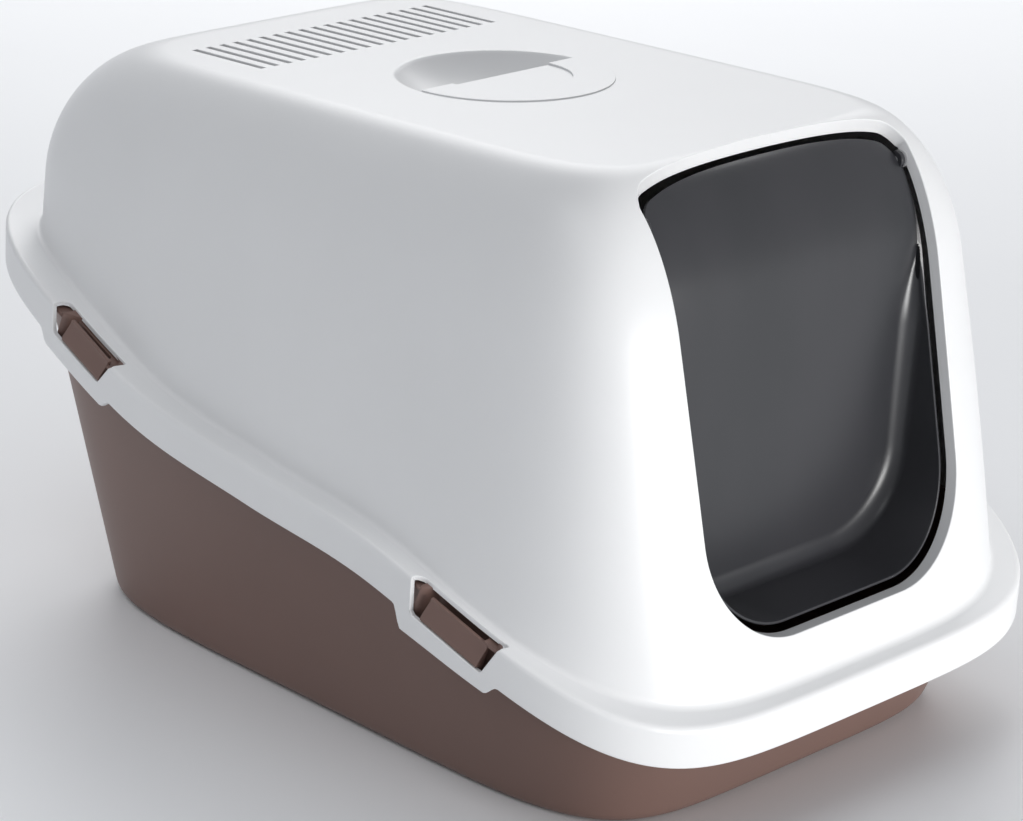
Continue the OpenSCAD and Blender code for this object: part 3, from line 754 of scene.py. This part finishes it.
def face_y(x, z, inset):
    """The same over x and a real height, by three rounds of correction for the tilt."""
    y = -0.25 + 0 * x
    for _ in range(3):
        rise = (z - base_z) / (1 - roof_tilt * y / span_z)
        sine = clamp((rise - span_z + shoulder_h) / (shoulder_h - inset), 0, 1)
        y = face_at(x, rise, 1 - np.sqrt(1 - sine ** 2), inset)
    return y


def door_form(inset, back_y):
    """The hood's front drawn in by inset, but nowhere ahead of the plane back_y: v runs over the
    shoulder from 0 to 1 and down the panel to 2. The two meet in a soft bend."""
    def form(x, v):
        angle = math.pi / 2 * (1 - clamp(v, 0, 1))
        rise = np.where(v < 1, span_z - inset - (shoulder_h - inset) * (1 - np.sin(angle)),
                        span_z - shoulder_h - (span_z - shoulder_h - 0.038) * (v - 1))
        y = face_at(x, rise, np.where(v < 1, 1 - np.cos(angle), 0), inset)
        ahead = (y + back_y + np.hypot(y - back_y, 0.005)) / 2
        return np.stack([x, ahead, base_z + rise * (1 - roof_tilt * y / span_z)], -1)
    return form


def wall_share(p):
    """1 where the door's walls stand full height, 0 where its top meets the hood's line."""
    return smooth((panel_y - face_y(p[..., 0], p[..., 2], door_inset)) / 0.014)


def door_area(p):
    """How far inside the door's panel a point lies; the walls' rounding starts at its edge."""
    return -doorway(p, -door_gap - (door_t + fillet) * wall_share(p))


def door_rim(p, n, w):
    """Hem of the panel: the fillet, the wall forward to the hood's line less the inset, its
    thin rounded rim, and the wall's outside."""
    share = wall_share(p)[:, None]
    ahead = np.array([0, -1, 0])
    made = []
    for t in np.radians([0, 15, 30, 45, 60, 75, 90]):
        bend = t * clamp(share * 3, 0, 1)
        made.append((p + fillet * share * (w * np.sin(t) + ahead * (1 - np.cos(t))),
                     n * np.cos(bend) - w * np.sin(bend)))
    inside = made[-1][0]
    front = np.minimum(inside[:, 1], face_y(inside[:, 0], inside[:, 2], door_inset))
    for across, set_back, turn_out in ((0, 0.0007, -1), (0.0002, 0.0002, -0.7), (0.0007, 0, 0),
                                       (0.0013, 0, 0), (0.0018, 0.0002, 0.7), (0.002, 0.0007, 1)):
        q = inside + w * across * share
        q[:, 1] = np.minimum(inside[:, 1], front + set_back * share[:, 0])
        facing = ahead * (1 - abs(turn_out)) * share + w * turn_out * share + n * (1 - share)
        made.append((q, facing / np.linalg.norm(facing, axis=-1, keepdims=True)))
    behind = made[-1][0] + 0
    behind[:, 1] = panel_y + door_t
    made.append((share * behind + (1 - share) * (p + w * 0.0004 - n * door_t), w))
    return made


smoke, place, surface = finish_of("smoked plastic", IOR=1.58, Coat_IOR=1.5)
swirl = place.stretched(1, 1, 0.35).noise(14.0, 3.0)
fine = place.noise(900.0, 2.0)
surface(Base_Color=swirl.between(0.35, 0.65).mixed((0.028, 0.029, 0.033), (0.034, 0.034, 0.039)),
        Roughness=0.28 + 0.06 * swirl + 0.05 * fine,
        Normal=fine.bumped(0.05, 0.0001))
door_x = np.linspace(-0.1085, 0.1085, 132)
door_rows = rows(0, (1, 69), (2, 89))
door = skin("door_panel", door_form(door_inset, panel_y), door_x, door_rows, smoke, "door_body",
            "door_plastic", gap=door_area, hem=door_rim, flip=True)
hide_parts("door")
skin("door_back", door_form(door_inset + door_t, panel_y + door_t), door_x, door_rows, smoke,
     "door_body", "door_plastic", gap=lambda p: -doorway(p, -door_gap))
for side, name in ((-1, "left"), (1, "right")):
    turned(f"door_ear_{name}", (side * 0.1029, hinge_y, hinge_z),
           ring_profile(0.00205, 0.005, 0.003, 0.0004), smoke, "door_body", "door_plastic")

# the two hinge pins are turned nylon, pressed into the bosses
nylon, place, surface = finish_of("nylon", Roughness=0.4, IOR=1.53)
surface(Base_Color=place.noise(60.0).between(0.35, 0.65).mixed((0.30, 0.30, 0.31),
                                                               (0.34, 0.34, 0.35)))
for name in ("hinge_pin_left", "hinge_pin_right"):
    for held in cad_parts[name].material_slots:
        held.material = nylon

# ------------------------------------------------------------------ filter
# An open cage hangs under the vents on a steel rod at its rear edge and holds a charcoal foam
# pad. The cage is the hood's plastic with a coarser grain.

cage, place, surface = finish_of("cage plastic", IOR=1.49)
grit = place.noise(900.0, 2.0)
surface(Base_Color=grit.between(0.3, 0.7).mixed((0.74, 0.745, 0.75), (0.78, 0.785, 0.79)),
        Roughness=0.42 + 0.1 * grit, Normal=grit.bumped(0.1, 0.0002))
foam, place, surface = finish_of("charcoal foam", IOR=1.45)
cavity = place.node("ShaderNodeTexVoronoi", {"feature": "DISTANCE_TO_EDGE"}, Vector=place,
                    Scale=480.0)
# the middle of each pore is painted darker than its struts, as painted shade in the pore's hollow
surface(Base_Color=cavity.between(0.0, 0.12).mixed((0.035, 0.035, 0.036), (0.008, 0.008, 0.008)),
        Roughness=0.85 + 0.1 * cavity, Normal=(1 - cavity).bumped(0.6, 0.0006))
rod, place, surface = finish_of("steel rod", Metallic=1.0)
draw = place.stretched(20, 900, 900).noise(3.0, 2.0)
surface(Base_Color=draw.between(0.3, 0.7).mixed((0.50, 0.50, 0.51), (0.60, 0.60, 0.61)),
        Roughness=0.22 + 0.15 * draw)
for name, finish in (("filter_cassette", cage), ("filter_pad", foam), ("filter_pin", rod)):
    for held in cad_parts[name].material_slots:
        held.material = finish

# ------------------------------------------------------------------ tray
# One deep brown polypropylene moulding. Ruled walls rise from a flat floor with a rounded foot
# to a flange under the hood's shelf, which is notched where a tongue stands.

brown, place, surface = finish_of("tray plastic", IOR=1.49)
pebble, drift = place.noise(1500.0, 2.0), place.noise(6.0, 3.0)
surface(Base_Color=drift.between(0.3, 0.7).mixed((0.172, 0.104, 0.086), (0.186, 0.112, 0.093)),
        Roughness=0.36 + 0.08 * drift + 0.06 * pebble, Normal=pebble.bumped(0.1, 0.0001))

tray_y, flange_z, flange_t = -0.016, 0.018, 0.0024

# kind of tongue: its place along the side, lowest point, length, and the depth of its ledge
tongues = (("clip_front", -0.1535, 0.002, 0.042, 0.0227),
           ("clip_rear", 0.1475, 0.0055, 0.038, 0.021))


def tray_floor(t, inset, z):
    x, y = ring(t, 0.1564 - inset, 0.2197 - inset, 5.7)
    return np.stack([x, y + tray_y, z + 0 * x], -1)


def tray_top(t, inset, rise):
    """The wall's upper ring. It stands 13 mm inside the skirt at the sides, 15 mm at the ends."""
    x, y = ring(t, half_w - 0.013 - inset, half_l - 0.015 - inset, 4.7)
    return np.stack([x, y, rim(y) + rise], -1)


def tray_form(t, v):
    """The tray from the middle of its underside round the foot, up the wall, out and round the
    flange, and down the inside to the middle of its floor."""
    middle = np.stack([0 * t, 0 * t + tray_y, 0 * t], -1)
    return bent([middle, tray_floor(t, 0, 0), tray_top(t, 0, flange_z - flange_t),
                 at_rim(t, 0.0036, flange_z - flange_t), at_rim(t, 0.0036, flange_z),
                 tray_top(t, wall, flange_z), tray_floor(t, wall, wall), middle + [0, 0, wall]],
                [0.009, 0.0018, 0.0008, 0.0008, 0.0015, 0.012], v)


def notches(p):
    """Distance outside the notches that the tongues stand in."""
    x, y = np.abs(p[..., 0]), p[..., 1]
    nearest = np.full(y.shape, 1.0)
    for _, middle, _, length, _ in tongues:
        nearest = np.minimum(nearest, np.maximum(np.abs(y - middle) - length / 2 - 0.001,
                                                 outline_x(y) - x - 0.0113))
    return nearest


tray_rows = rows(0, (1, 3), (2, 8), (3, 25), (4, 5), (5, 7), (6, 3), (8, 7), (9, 7), (10, 3),
                 (11, 21), (12, 8), (13, 3))
tray = skin("tray_shell", tray_form, columns, tray_rows, brown, "tray_body", "tray_plastic",
            gap=notches, hem=lip(0.0003, flange_t / 2))
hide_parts("tray")

# ------------------------------------------------------------------ snap tongues
# Four springy brown tongues stand on ledges of the tray in the windows of the hood's skirt. Each
# has a rounded root and a nose that hooks over the bar below its window.


def on_rim(y, side):
    """Frame of a tongue: X outwards, Y along the rim, Z up, its origin on the skirt's edge."""
    slope = (rim(np.array(y + 0.01)) - rim(np.array(y - 0.01))) / 0.02
    veer = (outline_x(y + 0.01) - outline_x(y - 0.01)) / 0.02
    frame_left = Matrix.Translation((-outline_x(y), y, float(rim(np.array(y))))) \
        @ Matrix.Rotation(math.atan(veer), 4, "Z") @ Matrix.Rotation(math.atan(slope), 4, "X") \
        @ Matrix.Scale(-1, 4, (1, 0, 0))
    return frame_left if side < 0 else Matrix.Scale(-1, 4, (1, 0, 0)) @ frame_left


inner_x, outer_x, root_z = -0.0064, -0.0042, -0.004
for kind, y, lowest, length, ledge in tongues:
    for side, name in ((-1, "left"), (1, "right")):
        hook = lowest + 0.0006
        root = [(-0.0053 + 0.002 * math.cos(a), root_z + 0.002 * math.sin(a))
                for a in np.linspace(math.pi * 0.95, math.pi * 2.05, 15)]
        nose = [(outer_x, hook), (-0.0008, hook), (-0.0008, hook + 0.0025),
                (outer_x, hook + 0.011), (outer_x, hook + 0.0135), (inner_x, hook + 0.0135)]
        tongue = bar(f"{kind}_{name}_tongue_piece", root + nose, -length / 2, length / 2,
                     on_rim(y, side), brown, f"{kind}_{name}_tongue", "tray_plastic")
        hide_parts(f"{kind}_{name}")
        bar(f"{kind}_{name}_ledge", box_outline(-ledge, outer_x + 0.0009, -0.0083, -0.0063),
            -length / 2, length / 2, on_rim(y, side), brown, "tray_body", "tray_plastic")

# behind each tongue the tray is dished, so its window shows brown all over


def pocket_form(length):
    """Pocket in a tongue's frame: a wall behind the tongue that curves outwards at both ends and
    rises from v = 0 to 1, then a lip that turns inwards to v = 2."""
    def form(u, v):
        out = smooth((np.abs(u) - length / 2 + 0.001) / 0.009)
        behind = 0.0124 - 0.0086 * out
        z = -0.0062 + 0.0248 * clamp(v, 0, 1)
        return np.stack([-behind - (0.0165 - behind) * clamp(v - 1, 0, 1), u, z], -1)
    return form


for kind, y, _, length, _ in tongues:
    for side, name in ((-1, "left"), (1, "right")):
        reach = length / 2 + 0.008
        skin(f"{kind}_{name}_pocket", pocket_form(length), np.linspace(-reach, reach, 61),
             np.append(np.linspace(0, 1, 9), [1.3, 1.6, 2]), brown, "tray_body", "tray_plastic",
             matrix=on_rim(y, side))
